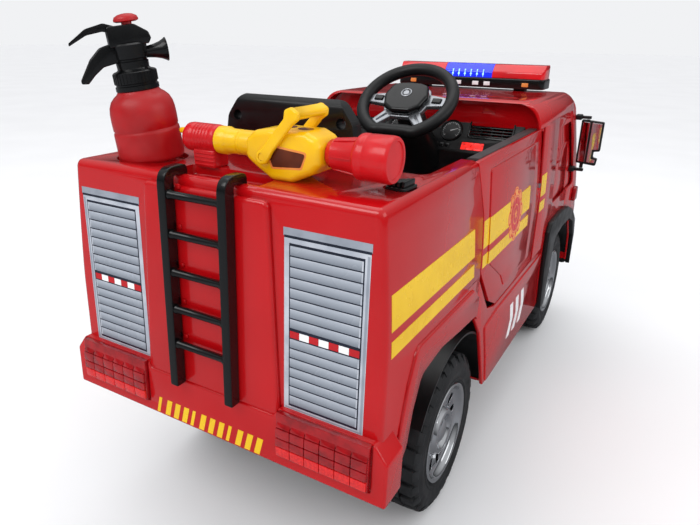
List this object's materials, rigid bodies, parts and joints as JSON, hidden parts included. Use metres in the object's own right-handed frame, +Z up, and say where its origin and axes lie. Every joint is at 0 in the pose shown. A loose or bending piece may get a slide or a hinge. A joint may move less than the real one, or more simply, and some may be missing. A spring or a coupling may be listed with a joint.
{
  "type": "ride-on toy fire engine",
  "caption": "Battery ride-on fire engine for one child, with steering, opening doors, pedal, ladder, toy extinguisher and water gun.",
  "frame": {"origin": "on the ground, below the centre of the overall box", "axes": "+X forward, +Y to the driver's left, +Z up"},
  "size_m": [1.212, 0.576, 0.7223],
  "materials": {
    "red_body": "high gloss moulded",
    "black_trim": "satin moulded",
    "tyre_rubber": "moulded tread",
    "chromed": "vacuum metallised, mirror bright",
    "silver_trim": "silver painted",
    "steel": "zinc plated",
    "red_lens": "clear red moulded",
    "blue_lens": "clear blue moulded",
    "clear_lens": "clear moulded",
    "smoked": "smoked glossy",
    "red_matt": "satin moulded",
    "gun_red": "moulded",
    "gun_yellow": "moulded"
  },
  "bodies": {
    "truck": {"rear_body_shell": "red_body", "rear_skirt": "red_body", "sill_right": "red_body", "sill_left": "red_body", "front_cab_shell": "red_body", "windscreen": "smoked", "headlamps": "clear_lens", "front_bumper": "black_trim", "front_flare_right": "black_trim", "front_flare_left": "black_trim", "marker_lamps": "red_lens", "tail_lamps": "red_lens", "door_hinge_pins": "steel", "chassis_pan": "black_trim", "rear_axle": "steel", "rear_gearboxes": "black_trim", "front_beam": "steel", "dashboard": "black_trim", "seat_pan": "black_trim", "seat_back": "black_trim", "battery": "black_trim", "light_bar_base": "black_trim", "light_bar_blue": "blue_lens", "light_bar_red": "red_lens", "mirror_brackets": "black_trim", "ladder": "black_trim"},
    "wheel_rear_right": {"tyre_rear_right": "tyre_rubber", "rim_rear_right": "chromed"},
    "wheel_rear_left": {"tyre_rear_left": "tyre_rubber", "rim_rear_left": "chromed"},
    "wheel_front_right": {"tyre_front_right": "tyre_rubber", "rim_front_right": "chromed"},
    "wheel_front_left": {"tyre_front_left": "tyre_rubber", "rim_front_left": "chromed"},
    "stub_right": {"knuckle_right": "steel"},
    "stub_left": {"knuckle_left": "steel"},
    "track_rod": {"tie_rod": "steel"},
    "helm": {"steering_column": "steel", "steering_rim": "black_trim", "steering_spokes": "silver_trim", "steering_hub_pad": "black_trim"},
    "horn_right": {"horn_button_right": "black_trim"},
    "horn_left": {"horn_button_left": "black_trim"},
    "door_right": {"door_right": "red_body", "door_trim_right": "black_trim"},
    "door_left": {"door_left": "red_body", "door_trim_left": "black_trim"},
    "power": {"power_button": "black_trim"},
    "rocker": {"direction_rocker": "black_trim"},
    "pedal": {"accelerator_pedal": "black_trim"},
    "mirror_right": {"mirror_right": "black_trim"},
    "mirror_left": {"mirror_left": "black_trim"},
    "extinguisher": {"extinguisher_bottle": "red_matt", "extinguisher_head": "black_trim", "extinguisher_knob": "red_matt"},
    "extinguisher_lever": {"extinguisher_lever": "black_trim"},
    "gun": {"gun_body": "gun_yellow", "gun_grip": "gun_red"},
    "gun_nozzle": {"gun_nozzle": "gun_red"},
    "gun_handle": {"gun_handle": "gun_yellow"}
  },
  "joints": [
    {"name": "rear_wheel_right", "type": "hinge", "parent": "truck", "child": "wheel_rear_right", "pos_m": [-0.304, -0.184, 0.125], "axis": [0, 1, 0], "continuous": true},
    {"name": "kingpin_right", "type": "hinge", "parent": "truck", "child": "stub_right", "pos_m": [0.438, -0.134, 0.125], "axis": [0, 0, 1], "range_deg": [-13, 13]},
    {"name": "front_wheel_right", "type": "hinge", "parent": "stub_right", "child": "wheel_front_right", "pos_m": [0.438, -0.184, 0.125], "axis": [0, 1, 0], "continuous": true},
    {"name": "door_hinge_right", "type": "hinge", "parent": "truck", "child": "door_right", "pos_m": [0.11, -0.228, 0.36], "axis": [0, 0, 1], "range_deg": [0, 55]},
    {"name": "mirror_fold_right", "type": "hinge", "parent": "truck", "child": "mirror_right", "pos_m": [0.458, -0.253, 0.47], "axis": [0, 0, 1], "range_deg": [-30, 30]},
    {"name": "horn_press_right", "type": "slide", "parent": "helm", "child": "horn_right", "axis": [0.6326, 0, -0.7745], "range_m": [0, 0.002], "stiffness_N_per_m": 600, "springref_m": -0.001},
    {"name": "rear_wheel_left", "type": "hinge", "parent": "truck", "child": "wheel_rear_left", "pos_m": [-0.304, 0.184, 0.125], "axis": [0, 1, 0], "continuous": true},
    {"name": "kingpin_left", "type": "hinge", "parent": "truck", "child": "stub_left", "pos_m": [0.438, 0.134, 0.125], "axis": [0, 0, 1], "range_deg": [-13, 13]},
    {"name": "front_wheel_left", "type": "hinge", "parent": "stub_left", "child": "wheel_front_left", "pos_m": [0.438, 0.184, 0.125], "axis": [0, 1, 0], "continuous": true},
    {"name": "door_hinge_left", "type": "hinge", "parent": "truck", "child": "door_left", "pos_m": [0.11, 0.228, 0.36], "axis": [0, 0, -1], "range_deg": [0, 55]},
    {"name": "mirror_fold_left", "type": "hinge", "parent": "truck", "child": "mirror_left", "pos_m": [0.458, 0.253, 0.47], "axis": [0, 0, -1], "range_deg": [-30, 30]},
    {"name": "horn_press_left", "type": "slide", "parent": "helm", "child": "horn_left", "axis": [0.6326, 0, -0.7745], "range_m": [0, 0.002], "stiffness_N_per_m": 600, "springref_m": -0.001},
    {"name": "track_rod_slide", "type": "slide", "parent": "truck", "child": "track_rod", "axis": [0, 1, 0], "range_m": [-0.0125, 0.0125]},
    {"name": "steering", "type": "hinge", "parent": "truck", "child": "helm", "pos_m": [-0.008, 0, 0.586], "axis": [0.6326, 0, -0.7745], "range_deg": [-26, 26]},
    {"name": "power_press", "type": "slide", "parent": "truck", "child": "power", "axis": [1, 0, 0], "range_m": [0, 0.003], "stiffness_N_per_m": 500, "springref_m": -0.001},
    {"name": "direction_rock", "type": "hinge", "parent": "truck", "child": "rocker", "pos_m": [0.086, -0.1, 0.454], "axis": [0, 1, 0], "range_deg": [-5, 5]},
    {"name": "pedal_press", "type": "hinge", "parent": "truck", "child": "pedal", "pos_m": [0.238, 0, 0.16], "axis": [0, 1, 0], "range_deg": [0, 12], "stiffness_Nm_per_rad": 1.5, "springref_deg": -20.05},
    {"name": "extinguisher_lift", "type": "slide", "parent": "truck", "child": "extinguisher", "axis": [-0.1005, 0.0963, 0.9903], "range_m": [0, 0.08]},
    {"name": "extinguisher_squeeze", "type": "hinge", "parent": "extinguisher", "child": "extinguisher_lever", "pos_m": [-0.53899, 0.16992, 0.70035], "axis": [-0.6013, -0.7989, 0.0167], "range_deg": [0, 8], "stiffness_Nm_per_rad": 0.8, "springref_deg": -17.19},
    {"name": "gun_lift", "type": "slide", "parent": "truck", "child": "gun", "axis": [0, 0, 1], "range_m": [0, 0.1]},
    {"name": "nozzle_twist", "type": "hinge", "parent": "gun", "child": "gun_nozzle", "pos_m": [-0.515, -0.16, 0.578], "axis": [0, 1, 0], "range_deg": [-45, 45]},
    {"name": "gun_handle_swing", "type": "hinge", "parent": "gun", "child": "gun_handle", "pos_m": [-0.515, -0.057, 0.571], "axis": [1, 0, 0], "range_deg": [-35, 8]}
  ],
  "couplings": [
    {"joint": "kingpin_right", "follows": "steering", "ratio": -0.5},
    {"joint": "kingpin_left", "follows": "steering", "ratio": -0.5},
    {"joint": "track_rod_slide", "follows": "steering", "m_per_rad": 0.022307}
  ]
}
